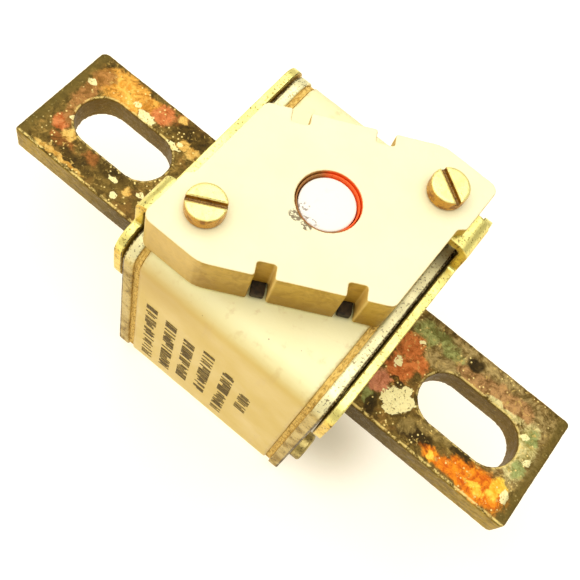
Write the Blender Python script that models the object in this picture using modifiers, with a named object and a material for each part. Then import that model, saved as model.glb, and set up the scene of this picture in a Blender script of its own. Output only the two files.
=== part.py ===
"""Square-body cartridge fuse with bolted blades, a trip indicator and a switch adapter.

Frame: X runs along the fuse between the two blades, Y across, Z up out of the
indicator face. The origin is the centre of the underside. The dimensions below
are in millimetres and become metres where the shapes are made.
"""
import bpy
import bmesh
from math import cos, sin, tan, pi, radians, hypot, atan2
from mathutils import Matrix, Vector

MM = 0.001

# ---- ceramic body -----------------------------------------------------------
MID_Z = 24.0            # height of the blades' middle plane
BODY_X = 17.5           # half length of the ceramic
BODY_Y = 24.3           # half width
BODY_Z = 23.9           # half height
BODY_R = 4.6            # long edge rounding
CAVITY = 15.5           # half width and half height of the cavity
CAVITY_R = 6.0
BORE_R = 4.0            # indicator bore through the upper wall

# ---- ends, as distances along X ----------------------------------------------
GASKET_X = (17.7, 18.3)
PLATE_X = (18.5, 20.7)
BRACKET_X = (21.0, 22.7)
PLATE_Y = 24.5
PLATE_Z = 24.0
PLATE_R = 5.0
BRACKET_Y = 24.4        # half width of the bracket strip
BRACKET_Z = (32.0, 48.4)
BRACKET_R = (6.0, 4.2)  # lower and upper corners
UPPER_SCREWS = [(-17.5, 41.5), (17.5, 41.5)]
LOWER_SCREWS = [(-18.5, 8.2), (18.5, 8.2)]
SHANK_R = 1.6
CLEAR_R = 1.9           # clearance hole round a shank
SHANK_TIP_X = 9.6
SINK_R = 3.3            # countersunk head of a bracket screw
PLUG_R = 2.7            # filling hole plug, in the right end plate
PLUG_Z = 11.5

# ---- blades -----------------------------------------------------------------
BLADE_END = 58.2
BLADE_Y = 12.5          # half width
BLADE_T = 6.0
SLOT_X = (31.6, 52.7)
SLOT_R = 5.45
FOOT_X = (13.7, 17.5)   # foot that holds the fuse strips, inside the cavity
FOOT_Y = 13.8
FOOT_Z = 9.0

# ---- switch adapter ---------------------------------------------------------
ADAPTER_Z = (48.3, 58.0)
SKIN_Z = 55.5           # underside of the adapter's top skin
WALL = 2.2
EAR_X = 19.7            # half length beside the screws
EAR_Y = (10.6, 11.6)    # where the ear begins
WAIST_X = 18.6          # half length elsewhere
FRONT_Y = 22.0
SLOPE = ((-8.1, -21.9), (18.6, -7.3))
NOTCHES = ((0.6, -17.1), (13.2, -10.2))
NOTCH_W = 3.1
NOTCH_D = 2.45
NOTCH_WALL = 1.5
NOTCH_SILL_Z = 50.2     # the notch's back wall starts this high
LINER_Z = (48.5, 49.7)
SCREW_Y = 14.65         # adapter screws
LUG_Y = {"left": 15.9, "right": 13.7}   # middles of the lugs that they go into
LUG_W = 7.2
LUG_X = (9.4, 22.65)
LUG_Z = (53.6, 55.2)
LUG_BEND = 2.4
ADAPTER_SCREW_X = 13.2
ADAPTER_HEAD_R = 3.4
ADAPTER_HEAD_Z = (58.15, 60.85)
ADAPTER_TIP_Z = 50.4
SIDES = {"left": -1, "right": 1}

# ---- indicator --------------------------------------------------------------
HOLE_R = 5.45
BOSS_R = 7.2
BEZEL_R = (5.0, 5.3)
BEZEL_Z = (49.4, 57.4)
CAP_R = 4.8
CAP_Z = (56.3, 57.0)
HEAD_Z = (49.6, 56.1)
STEM_R = 1.0
STEM_END_Z = 39.8
TUBE_R = (2.9, 3.7)
TUBE_Z = (40.2, 49.0)
TUBE_LIP = (4.9, 48.2)  # radius and underside of the tube's lip
SPRING_Z = (41.2, 49.4)
SPRING_R = 2.0
SPRING_WIRE_R = 0.28
SPRING_TURNS = 5
WIRE_R = 0.25
WIRE_Z = (10.0, 39.5)

# ---- inside -----------------------------------------------------------------
SAND_X = 13.0
SAND_H = 15.2
STRIP_Y = (-9.6, -3.2, 3.2, 9.6)
STRIP_X = 13.4
STRIP_Z = 8.0
STRIP_T = 0.35

# ---- materials: colour, roughness, metallic ----------------------------------
CERAMIC = ("ceramic", (0.86, 0.78, 0.56), 0.55, 0.0)
CREAM = ("cream_plastic", (0.88, 0.82, 0.60), 0.45, 0.0)
FIBRE = ("gasket_fibre", (0.42, 0.30, 0.12), 0.8, 0.0)
PLATED = ("plated_steel", (0.72, 0.70, 0.62), 0.38, 1.0)
ZINC = ("yellow_zinc", (0.78, 0.66, 0.30), 0.35, 1.0)
COPPER = ("tarnished_copper", (0.30, 0.20, 0.10), 0.5, 1.0)
BRASS = ("brass", (0.80, 0.62, 0.28), 0.32, 1.0)
RED = ("red_plastic", (0.80, 0.07, 0.03), 0.4, 0.0)
WHITE = ("white_plastic", (0.92, 0.91, 0.86), 0.4, 0.0)
BLACK = ("black_rubber", (0.02, 0.02, 0.02), 0.7, 0.0)
SILVER = ("silver", (0.82, 0.82, 0.80), 0.3, 1.0)
STEEL = ("steel", (0.62, 0.62, 0.60), 0.35, 1.0)
SAND = ("quartz_sand", (0.80, 0.74, 0.60), 0.95, 0.0)

# A shape's outline lies in local XY and its thickness along local Z. These
# rotations turn that thickness to world X, Y or Z; outline points are then
# (Y, Z), (X, Z) or (X, Y).
FACING = {"X": (pi / 2, 0, pi / 2), "Y": (pi / 2, 0, 0), "Z": (0, 0, 0)}


# ---- scene set-up -------------------------------------------------------------
for old in list(bpy.data.objects):
    bpy.data.objects.remove(old, do_unlink=True)
PARTS = bpy.data.collections.new("cartridge_fuse")
CUTTERS = bpy.data.collections.new("cutters")
bpy.context.scene.collection.children.link(PARTS)
bpy.context.scene.collection.children.link(CUTTERS)


def end_frame(name, turn):
    """Empty that carries one end's pieces; the left end is the right one turned round."""
    empty = bpy.data.objects.new(name, None)
    empty.rotation_euler = (0, 0, turn)
    PARTS.objects.link(empty)
    return empty


ENDS = {"left": end_frame("left_end", pi), "right": end_frame("right_end", 0)}


def material(name, colour, rough, metal):
    mat = bpy.data.materials.new(name)
    mat.use_nodes = True
    shader = mat.node_tree.nodes["Principled BSDF"]
    shader.inputs["Base Color"].default_value = (*colour, 1.0)
    shader.inputs["Roughness"].default_value = rough
    shader.inputs["Metallic"].default_value = metal
    return mat


def place(name, mesh, look, axis="Z", at=(0, 0, 0), side=None):
    """Link a mesh as a part if it has a look, else as a cutter."""
    obj = bpy.data.objects.new(name, mesh)
    obj.location = Vector(at) * MM
    obj.rotation_euler = FACING[axis]
    obj.parent = ENDS.get(side)
    if look is None:
        CUTTERS.objects.link(obj)
        obj.hide_render = True
        obj.display_type = "WIRE"
        return obj
    PARTS.objects.link(obj)
    mesh.materials.clear()
    mesh.materials.append(material(*look))
    return obj


def along(axis, h):
    return {"X": (h, 0, 0), "Y": (0, h, 0), "Z": (0, 0, h)}[axis]


# ---- shape makers -------------------------------------------------------------
def plate(name, outlines, low, high, axis="Z", look=None, side=None):
    """Flat piece from closed outlines; an outline inside another is a hole."""
    curve = bpy.data.curves.new(name, "CURVE")
    curve.dimensions = "2D"
    curve.fill_mode = "BOTH"
    curve.extrude = (high - low) / 2 * MM
    for outline in outlines:
        spline = curve.splines.new("POLY")
        spline.points.add(len(outline) - 1)
        spline.use_cyclic_u = True
        for point, (a, b) in zip(spline.points, outline):
            point.co = (a * MM, b * MM, 0, 1)
    guide = bpy.data.objects.new(name + "_outline", curve)
    CUTTERS.objects.link(guide)
    graph = bpy.context.evaluated_depsgraph_get()
    mesh = bpy.data.meshes.new_from_object(guide.evaluated_get(graph))
    bpy.data.objects.remove(guide, do_unlink=True)
    bm = bmesh.new()
    bm.from_mesh(mesh)
    bmesh.ops.remove_doubles(bm, verts=bm.verts, dist=1e-6)
    bmesh.ops.recalc_face_normals(bm, faces=bm.faces)
    bm.to_mesh(mesh)
    bm.free()
    mesh.shade_smooth()
    mesh.set_sharp_from_angle(angle=radians(32))
    return place(name, mesh, look, axis, along(axis, (low + high) / 2), side)


def turned(name, profile, look, axis="Z", at=(0, 0, 0), side=None, sides=36, ring=False):
    """Revolve (radius, height) points, listed down the outer side."""
    mesh = bpy.data.meshes.new(name)
    edges = [(i, i + 1) for i in range(len(profile) - 1)]
    if ring:
        edges.append((len(profile) - 1, 0))
    mesh.from_pydata([(r * MM, 0, h * MM) for r, h in profile], edges, [])
    obj = place(name, mesh, look, axis, at, side)
    screw = obj.modifiers.new("turn", "SCREW")
    screw.steps = screw.render_steps = sides
    screw.use_merge_vertices = True
    screw.merge_threshold = 1e-5
    return obj


def cylinders(name, spots, radius, low, high, axis="Z", side=None, wide=None, sides=20):
    """Cutter made of equal cylinders, or cones if the far end has its own radius."""
    bm = bmesh.new()
    for a, b in spots:
        shift = Matrix.Translation((a * MM, b * MM, 0))
        bmesh.ops.create_cone(bm, cap_ends=True, segments=sides, radius1=radius * MM,
                              radius2=(wide or radius) * MM, depth=(high - low) * MM, matrix=shift)
    mesh = bpy.data.meshes.new(name)
    bm.to_mesh(mesh)
    bm.free()
    return place(name, mesh, None, axis, along(axis, (low + high) / 2), side)


def tube(name, points, radius, look):
    """Round wire through the given points."""
    curve = bpy.data.curves.new(name, "CURVE")
    curve.dimensions = "3D"
    curve.bevel_depth = radius * MM
    curve.bevel_resolution = 2
    curve.use_fill_caps = True
    spline = curve.splines.new("POLY")
    spline.points.add(len(points) - 1)
    for point, spot in zip(spline.points, points):
        point.co = (*(Vector(spot) * MM), 1)
    obj = bpy.data.objects.new(name, curve)
    PARTS.objects.link(obj)
    curve.materials.append(material(*look))
    return obj


def combine(obj, other, operation="DIFFERENCE"):
    mod = obj.modifiers.new(other.name, "BOOLEAN")
    mod.operation = operation
    mod.solver = "EXACT"
    mod.object = other


def soften(obj, width, angle=40, segments=2):
    """Bevel the sharp edges."""
    mod = obj.modifiers.new("edges", "BEVEL")
    mod.width = width * MM
    mod.segments = segments
    mod.limit_method = "ANGLE"
    mod.angle_limit = radians(angle)


# ---- outlines -----------------------------------------------------------------
def rounded(corners, step=15):
    """Closed outline through (a, b, radius) corners, each corner an arc."""
    out = []
    for i, (a, b, radius) in enumerate(corners):
        here = Vector((a, b))
        before = (Vector(corners[i - 1][:2]) - here).normalized()
        after = (Vector(corners[(i + 1) % len(corners)][:2]) - here).normalized()
        angle = before.angle(after)
        if radius <= 0 or abs(angle - pi) < 1e-4:
            out.append((a, b))
            continue
        centre = here + (before + after).normalized() * (radius / sin(angle / 2))
        first = here + before * (radius / tan(angle / 2)) - centre
        last = here + after * (radius / tan(angle / 2)) - centre
        begin = atan2(first.y, first.x)
        sweep = (atan2(last.y, last.x) - begin + pi) % (2 * pi) - pi
        steps = max(2, round(abs(sweep) / radians(step)))
        for k in range(steps + 1):
            t = begin + sweep * k / steps
            out.append((centre.x + radius * cos(t), centre.y + radius * sin(t)))
    return out


def rectangle(a, b, radius=0.0, at=(0.0, 0.0), step=15):
    """Outline of half sizes a and b round a centre."""
    u, v = at
    corners = ((u - a, v - b), (u + a, v - b), (u + a, v + b), (u - a, v + b))
    return rounded([(p, q, radius) for p, q in corners], step)


def circle(radius, at=(0.0, 0.0), sides=20):
    turns = [2 * pi * k / sides for k in range(sides)]
    return [(at[0] + radius * cos(t), at[1] + radius * sin(t)) for t in turns]


# ---- ceramic body and its ends --------------------------------------------------
def ceramic_body():
    block = rectangle(BODY_Y, BODY_Z, BODY_R, (0, MID_Z), 11)
    cavity = rectangle(CAVITY, CAVITY, CAVITY_R, (0, MID_Z), 18)
    body = plate("ceramic_body", [block, cavity], -BODY_X, BODY_X, "X", CERAMIC)
    soften(body, 0.5)
    combine(body, cylinders("bore", [(0, 0)], BORE_R, MID_Z + 10, MID_Z + 30, sides=40))
    for side in ENDS:
        spots = UPPER_SCREWS + LOWER_SCREWS
        combine(body, cylinders("blind_" + side, spots, CLEAR_R, SHANK_TIP_X - 0.5, BODY_X + 1, "X", side))


def gasket(side):
    holes = [circle(CLEAR_R, at) for at in UPPER_SCREWS + LOWER_SCREWS]
    sheet = rectangle(BODY_Y - 0.3, BODY_Z - 0.3, BODY_R - 0.3, (0, MID_Z))
    window = rectangle(CAVITY, CAVITY, CAVITY_R, (0, MID_Z), 18)
    plate("gasket_" + side, [sheet, window] + holes, *GASKET_X, "X", FIBRE, side)


def end_plate(side):
    holes = [circle(CLEAR_R, at) for at in UPPER_SCREWS + LOWER_SCREWS]
    if side == "right":
        holes.append(circle(PLUG_R + 0.3, (0, PLUG_Z), 28))
    sheet = rectangle(PLATE_Y, PLATE_Z, PLATE_R, (0, MID_Z), 11)
    slot = rectangle(BLADE_Y + 0.3, BLADE_T / 2 + 0.3, 0.6, (0, MID_Z), 30)
    plate("end_plate_" + side, [sheet, slot] + holes, *PLATE_X, "X", PLATED, side)


def contact_blade(side):
    root = FOOT_X[0] + 1.5
    plan = rounded([(root, -BLADE_Y, 0), (BLADE_END, -BLADE_Y, 1.1), (BLADE_END, BLADE_Y, 0.7),
                    (root, BLADE_Y, 0)])
    middle = (SLOT_X[0] + SLOT_X[1]) / 2
    slot = rectangle((SLOT_X[1] - SLOT_X[0]) / 2, SLOT_R, SLOT_R - 0.01, (middle, 0), 10)
    low, high = MID_Z - BLADE_T / 2, MID_Z + BLADE_T / 2
    blade = plate("contact_blade_" + side, [plan, slot], low, high, "Z", COPPER, side)
    soften(blade, 0.3, 60)
    foot = [rectangle(FOOT_Y, FOOT_Z, 2.0, (0, MID_Z), 30)]
    combine(blade, plate("foot_" + side, foot, *FOOT_X, "X", None, side), "UNION")


# ---- fasteners ------------------------------------------------------------------
def screw_slot(screw, radius, top, turn, at, axis, side):
    """Cut the driver's slot across a head."""
    bar = rectangle(radius + 1, 0.45)
    c, s = cos(turn), sin(turn)
    bar = [(at[0] + c * u - s * v, at[1] + s * u + c * v) for u, v in bar]
    combine(screw, plate(screw.name + "_slot", [bar], top - 1.0, top + 1, axis, None, side))


def cheese_screw(name, radius, under, top, tip, turn, at, axis, look, side=None):
    """Cylindrical-head screw: the head runs from under to top, the shank to tip."""
    profile = [(0, top), (radius - 0.5, top), (radius - 0.15, top - 0.12), (radius, top - 0.45),
               (radius, under), (SHANK_R, under), (SHANK_R, tip + 0.6), (SHANK_R - 0.5, tip), (0, tip)]
    centre = (0, *at) if axis == "X" else (*at, 0)
    screw = turned(name, profile, look, axis, centre, side)
    screw_slot(screw, radius, top, turn, at, axis, side)


def sunk_screw(name, turn, at, side):
    """Countersunk screw, its head flush in the bracket."""
    low, top = BRACKET_X
    rim = SINK_R - 0.25
    profile = [(0, top), (rim, top), (rim, top - 0.2), (SHANK_R, low + 0.15), (SHANK_R, SHANK_TIP_X + 0.6),
               (SHANK_R - 0.5, SHANK_TIP_X), (0, SHANK_TIP_X)]
    screw = turned(name, profile, STEEL, "X", (0, *at), side, 28)
    screw_slot(screw, rim, top, turn, at, "X", side)


def end_fasteners(side):
    for row, upper, lower in zip(("front", "rear"), UPPER_SCREWS, LOWER_SCREWS):
        tail = "_%s_%s" % (side, row)
        tilt = 0.5 + upper[0] / 20
        sunk_screw("bracket_screw" + tail, tilt, upper, side)
        cheese_screw("end_screw" + tail, 3.1, PLATE_X[1] + 0.2, PLATE_X[1] + 2.3, SHANK_TIP_X,
                     -tilt, lower, "X", STEEL, side)


def filler_plug():
    low, high = PLATE_X[0] + 0.1, PLATE_X[1] - 0.2
    profile = [(0, high), (PLUG_R - 0.4, high), (PLUG_R, high - 0.3), (PLUG_R, low), (0, low)]
    turned("filler_plug", profile, STEEL, "X", (0, 0, PLUG_Z), "right", 28)


# ---- bracket with its bent lug ----------------------------------------------------
def lug_outline():
    """Side view of the lug in (X, Z): up from the strip, bent in over the body."""
    tip, back = LUG_X
    under, top = LUG_Z
    sheet = top - under
    foot = BRACKET_Z[1] - 3
    return rounded([(back - sheet, foot, 0), (back, foot, 0), (back, top, LUG_BEND), (tip, top, 0),
                    (tip, under, 0), (back - sheet, under, LUG_BEND - sheet)])


def mounting_bracket(side):
    low, high = BRACKET_Z
    y = BRACKET_Y
    below, above = BRACKET_R
    strip = rounded([(-y, low, below), (y, low, below), (y, high, above), (-y, high, above)])
    bracket = plate("mounting_bracket_" + side, [strip], *BRACKET_X, "X", ZINC, side)
    lug = plate("lug_" + side, [lug_outline()], -LUG_W / 2, LUG_W / 2, "Y", None, side)
    lug.location.y = LUG_Y[side] * MM
    combine(bracket, lug, "UNION")
    hole = (ADAPTER_SCREW_X, SCREW_Y)
    combine(bracket, cylinders("tapped_" + side, [hole], SHANK_R + 0.35, LUG_Z[0] - 1, LUG_Z[1] + 1,
                               "Z", side, sides=28))
    combine(bracket, cylinders("sink_" + side, UPPER_SCREWS, CLEAR_R - 0.1, BRACKET_X[0] - 0.3,
                               BRACKET_X[1] + 0.2, "X", side, SINK_R + 0.25, 28))


# ---- switch adapter and its liner ---------------------------------------------------
def slope_directions():
    """Unit directions along the adapter's sloping edge and out of it."""
    (ax, ay), (bx, by) = SLOPE
    length = hypot(bx - ax, by - ay)
    run = ((bx - ax) / length, (by - ay) / length)
    return run, (run[1], -run[0])


def notch_steps(base, steps):
    """(run, push) corners along the slope past one notch, for nested steps."""
    levels = [0.0] + [push for _, push in steps]
    entry = []
    for i, (half_width, _) in enumerate(steps):
        entry += [(-half_width, levels[i]), (-half_width, levels[i + 1])]
    leave = [(-run, push) for run, push in reversed(entry)]
    return [(base + run, push) for run, push in entry + leave]


def adapter_outline(inset, steps, radius=1.4):
    """Adapter outline moved in by inset, with (half width, push) steps at each notch."""
    run, out = slope_directions()
    fine = 0.35
    ax, ay = SLOPE[0][0] - out[0] * inset, SLOPE[0][1] - out[1] * inset
    front, waist, ear = inset - FRONT_Y, WAIST_X - inset, EAR_X - inset
    start_x = ax + run[0] * (front - ay) / run[1]
    end_y = ay + run[1] * (waist - ax) / run[0]
    half = [(-ear, -EAR_Y[1], fine), (-ear, front, radius + 0.4), (start_x, front, 6.0)]
    for nx, ny in NOTCHES:
        base = (nx - ax) * run[0] + (ny - ay) * run[1]
        for reach, push in notch_steps(base, steps):
            half.append((ax + run[0] * reach + out[0] * push, ay + run[1] * reach + out[1] * push, fine))
    half += [(waist, end_y, radius), (waist, EAR_Y[0], fine)]
    return rounded(half + [(-x, -y, r) for x, y, r in half], 18)


def notch_windows():
    """Low openings in the notches' back walls, for the switch's hooks."""
    run, out = slope_directions()
    wide, deep = NOTCH_W / 2 - 0.1, 1.1
    back = NOTCH_D + NOTCH_WALL / 2
    windows = []
    for nx, ny in NOTCHES:
        for s in (-1, 1):
            u, v = s * (nx - out[0] * back), s * (ny - out[1] * back)
            windows.append([(u + run[0] * a + out[0] * b, v + run[1] * a + out[1] * b)
                            for a, b in rectangle(wide, deep)])
    return windows


def adapter_plate():
    low, high = ADAPTER_Z
    outline = adapter_outline(0.0, [(NOTCH_W / 2, -NOTCH_D)])
    adapter = plate("adapter_plate", [outline], low, high, "Z", CREAM)
    soften(adapter, 0.5, 60)
    walls = [(NOTCH_W / 2 + NOTCH_WALL, WALL - NOTCH_D - NOTCH_WALL)]
    inner = [adapter_outline(WALL, walls, 1.0), circle(BOSS_R, sides=40)]
    combine(adapter, plate("pocket", inner, low - 1, SKIN_Z))
    spots = [(s * ADAPTER_SCREW_X, s * SCREW_Y) for s in SIDES.values()]
    combine(adapter, cylinders("indicator_hole", [(0, 0)], HOLE_R, low - 1, high + 1, sides=56))
    combine(adapter, cylinders("screw_holes", spots, 2.2, SKIN_Z - 1, high + 1, sides=28))
    doors = [rectangle(2.6, LUG_W / 2 + 0.4, 0, (s * 18.6, s * LUG_Y[side])) for side, s in SIDES.items()]
    combine(adapter, plate("lug_doors", doors, low - 1, LUG_Z[1] + 0.25))
    combine(adapter, plate("notch_windows", notch_windows(), low - 1, NOTCH_SILL_Z))


def adapter_liner():
    """Soft sheet between the body and the adapter; its tongues show in the notches."""
    steps = [(NOTCH_W / 2 + NOTCH_WALL + 0.3, WALL - NOTCH_D - NOTCH_WALL), (NOTCH_W / 2 - 0.4, WALL - 0.15)]
    outline = adapter_outline(WALL + 0.3, steps, 1.0)
    plate("adapter_liner", [outline, circle(BOSS_R + 0.4, sides=40)], *LINER_Z, "Z", BLACK)


def adapter_screws():
    under, top = ADAPTER_HEAD_Z
    for (side, s), turn in zip(SIDES.items(), (29.6, -32.6)):
        cheese_screw("adapter_screw_" + side, ADAPTER_HEAD_R, under, top, ADAPTER_TIP_Z, radians(turn),
                     (s * ADAPTER_SCREW_X, s * SCREW_Y), "Z", BRASS)


# ---- indicator ------------------------------------------------------------------
def indicator():
    inner, outer = BEZEL_R
    low, high = BEZEL_Z
    ring = [(outer, high), (outer, low), (inner, low), (inner, high)]
    turned("indicator_bezel", ring, RED, sides=48, ring=True)
    inner, outer = TUBE_R
    low, high = TUBE_Z
    lip_r, lip_z = TUBE_LIP
    ring = [(lip_r, high), (lip_r, lip_z), (outer, lip_z), (outer, low), (STEM_R + 0.3, low),
            (STEM_R + 0.3, low + 0.8), (inner, low + 0.8), (inner, high)]
    turned("indicator_housing", ring, BRASS, ring=True)
    under, top = HEAD_Z
    head_r = CAP_R - 0.1
    profile = [(0, top), (head_r, top), (head_r, under), (STEM_R, under), (STEM_R, STEM_END_Z),
               (0, STEM_END_Z)]
    turned("indicator_plunger", profile, RED, sides=40)
    low, high = CAP_Z
    profile = [(0, high), (CAP_R - 0.2, high), (CAP_R, high - 0.2), (CAP_R, low), (0, low)]
    turned("indicator_cap", profile, WHITE, sides=48)


def indicator_spring():
    """Compression spring round the plunger's stem."""
    steps = 14
    count = SPRING_TURNS * steps
    low, high = SPRING_Z[0] + SPRING_WIRE_R, SPRING_Z[1] - SPRING_WIRE_R
    points = []
    for k in range(count + 1):
        t = 2 * pi * k / steps
        points.append((SPRING_R * cos(t), SPRING_R * sin(t), low + (high - low) * k / count))
    tube("indicator_spring", points, SPRING_WIRE_R, STEEL)


def indicator_wire():
    """Wire that holds the plunger down until it melts."""
    low, high = WIRE_Z
    tube("indicator_wire", [(0, 0, low), (0, 0, high)], WIRE_R, STEEL)


# ---- inside ---------------------------------------------------------------------
def fuse_strips():
    columns = [(k - 2) * 5.0 for k in range(5)]
    rows = [MID_Z + (k - 1.5) * 4.0 for k in range(4)]
    holes = [circle(1.25, (x, z), 12) for x in columns for z in rows]
    for i, y in enumerate(STRIP_Y):
        sheet = rectangle(STRIP_X, STRIP_Z, 0, (0, MID_Z))
        plate("fuse_strip_%d" % (i + 1), [sheet] + holes, y - STRIP_T / 2, y + STRIP_T / 2, "Y", SILVER)


def sand_filler():
    block = rectangle(SAND_H, SAND_H, CAVITY_R - 0.3, (0, MID_Z), 18)
    slots = [rectangle(0.5, STRIP_Z + 0.3, 0, (y, MID_Z)) for y in STRIP_Y]
    sand = plate("sand_filler", [block] + slots, -SAND_X, SAND_X, "X", SAND)
    combine(sand, cylinders("wire_hole", [(0, 0)], WIRE_R + 0.45, WIRE_Z[0] - 0.6, MID_Z + 20, sides=12))


ceramic_body()
for end in ENDS:
    gasket(end)
    end_plate(end)
    contact_blade(end)
    mounting_bracket(end)
    end_fasteners(end)
filler_plug()
adapter_plate()
adapter_liner()
adapter_screws()
indicator()
indicator_spring()
indicator_wire()
fuse_strips()
sand_filler()
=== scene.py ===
"""Looks of the square-body cartridge fuse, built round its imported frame.

X runs along the fuse between its blades, Y across it, Z up out of the indicator
face. Shapes are drawn in millimetres, and MM turns them into the frame's metres.
"""

import random
from math import atan2, ceil, cos, hypot, pi, radians, sin, tan

import bmesh
import bpy
from mathutils import Matrix, Vector


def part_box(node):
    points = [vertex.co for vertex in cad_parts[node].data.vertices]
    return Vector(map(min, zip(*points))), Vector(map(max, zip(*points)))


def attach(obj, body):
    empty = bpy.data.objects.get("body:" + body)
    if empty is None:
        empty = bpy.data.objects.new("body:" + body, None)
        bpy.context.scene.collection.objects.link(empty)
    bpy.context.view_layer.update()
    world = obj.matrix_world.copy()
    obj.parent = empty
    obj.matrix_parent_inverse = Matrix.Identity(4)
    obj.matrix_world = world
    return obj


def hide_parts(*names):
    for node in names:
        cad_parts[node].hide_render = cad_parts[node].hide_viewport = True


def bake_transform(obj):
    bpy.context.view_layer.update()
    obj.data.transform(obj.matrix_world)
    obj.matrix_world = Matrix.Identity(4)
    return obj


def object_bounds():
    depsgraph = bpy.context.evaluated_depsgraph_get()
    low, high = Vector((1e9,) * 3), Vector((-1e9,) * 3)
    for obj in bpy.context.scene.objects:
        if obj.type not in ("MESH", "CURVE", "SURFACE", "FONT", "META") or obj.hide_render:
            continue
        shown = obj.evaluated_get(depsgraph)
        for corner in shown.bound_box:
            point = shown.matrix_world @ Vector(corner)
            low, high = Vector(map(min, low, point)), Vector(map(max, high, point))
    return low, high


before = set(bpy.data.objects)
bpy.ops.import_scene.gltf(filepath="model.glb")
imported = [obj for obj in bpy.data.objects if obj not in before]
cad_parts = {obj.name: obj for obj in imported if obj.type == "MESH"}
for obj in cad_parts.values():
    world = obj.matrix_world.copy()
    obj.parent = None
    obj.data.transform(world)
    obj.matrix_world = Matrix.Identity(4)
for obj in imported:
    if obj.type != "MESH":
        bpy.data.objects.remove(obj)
CAD_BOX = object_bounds()
MM = 0.001


def span(node, axis):
    """Lowest and highest place of a frame node along an axis, in millimetres."""
    low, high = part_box(node)
    return low["XYZ".index(axis)] / MM, high["XYZ".index(axis)] / MM


# ---- driving sizes in millimetres, from the frame where it has them ----
BODY_X = span("ceramic_body", "X")[1]
BODY_Y = span("ceramic_body", "Y")[1]
BODY_Z = span("ceramic_body", "Z")
MID_Z = sum(span("contact_blade_right", "Z")) / 2
BODY_R = 4.6                      # long edge rounding
CAVITY, CAVITY_R = 15.5, 6.0      # half width of the cavity and its corners
BORE_R = 4.0                      # hole of the indicator tube in the upper wall
PLATE_X = span("end_plate_right", "X")
PLATE_Y = span("end_plate_right", "Y")[1]
PLATE_Z, PLATE_R = 24.0, 5.0      # half height and corners
PLUG_Z, PLUG_HOLE_R = 11.5, 3.0
BRACKET_Y = span("mounting_bracket_right", "Y")[1]
BRACKET_OUT = span("mounting_bracket_right", "X")[1]
BRACKET_T = 1.7                   # sheet thickness
BRACKET_LOW = span("mounting_bracket_right", "Z")[0]
BRACKET_TOP = 48.4                # shoulder beside the lug
BRACKET_R = (6.0, 4.2)            # lower and upper corners
UPPER_SCREWS = [(-17.5, 41.5), (17.5, 41.5)]
LOWER_SCREWS = [(-18.5, 8.2), (18.5, 8.2)]
SHANK_R = 1.6
CLEAR_R = 1.9                     # clearance hole round a shank
FOOT_START, BLADE_END = span("contact_blade_right", "X")
BLADE_Y, BLADE_T = 12.5, 6.0
FOOT_END, FOOT_Y, FOOT_Z = 17.5, 13.8, 9.0   # block at the blade's inner end
SLOT_X, SLOT_R = (31.6, 52.7), 5.45
SCREW_Y = 14.65                   # adapter screws
LUG_Y, LUG_W = {"left": 15.9, "right": 13.7}, 7.2
LUG_TIP = span("mounting_bracket_right", "X")[0]
LUG_TOP = span("mounting_bracket_right", "Z")[1]
LUG_BEND = 2.4                    # outer radius of the bend
ADAPTER_Z = span("adapter_plate", "Z")
SKIN_Z, WALL = 55.5, 2.2          # underside of the top skin, wall thickness
EAR_X = span("adapter_plate", "X")[1]
EAR_Y = (10.6, 11.6)              # where the ear beside a screw begins
WAIST_X, FRONT_Y = 18.6, span("adapter_plate", "Y")[1]
DOOR_X, DOOR_HALF = 18.6, 2.6     # opening in the wall for a lug
SLOPE = ((-8.1, -21.9), (18.6, -7.3))        # two places on the sloping front edge
NOTCHES = ((0.6, -17.1), (13.2, -10.2))      # the middles of its notches
NOTCH_W, NOTCH_D, NOTCH_WALL, NOTCH_SILL_Z = 3.1, 2.45, 1.5, 50.2
ADAPTER_SCREW_X, ADAPTER_HEAD_R = 13.2, 3.4
ADAPTER_HEAD_TOP = span("adapter_screw_left", "Z")[1]
HOLE_R, BOSS_R = 5.45, 7.2        # round the indicator, in the adapter
CAP_R = span("indicator_cap", "X")[1]
BEZEL_R = (5.01, 5.29)
HEAD_LOW_Z, STEM_R = 49.6, 1.0    # plunger's head and its stem
SPRING_R, SPRING_WIRE_R, SPRING_TURNS = 1.99, 0.28, 5

ENDS = {"left": -1, "right": 1}
ROWS = ("front", "rear")          # the order of the screw lists above
FACING = {"X": (pi / 2, 0, pi / 2), "Y": (pi / 2, 0, 0), "Z": (0, 0, 0)}


# ---- materials ----
def tint(red, green, blue):
    """Linear colour from screen values of 0 to 255."""
    return tuple(((c / 255 + 0.055) / 1.055) ** 2.4 if c > 10 else c / 3294 for c in (red, green, blue))


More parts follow.
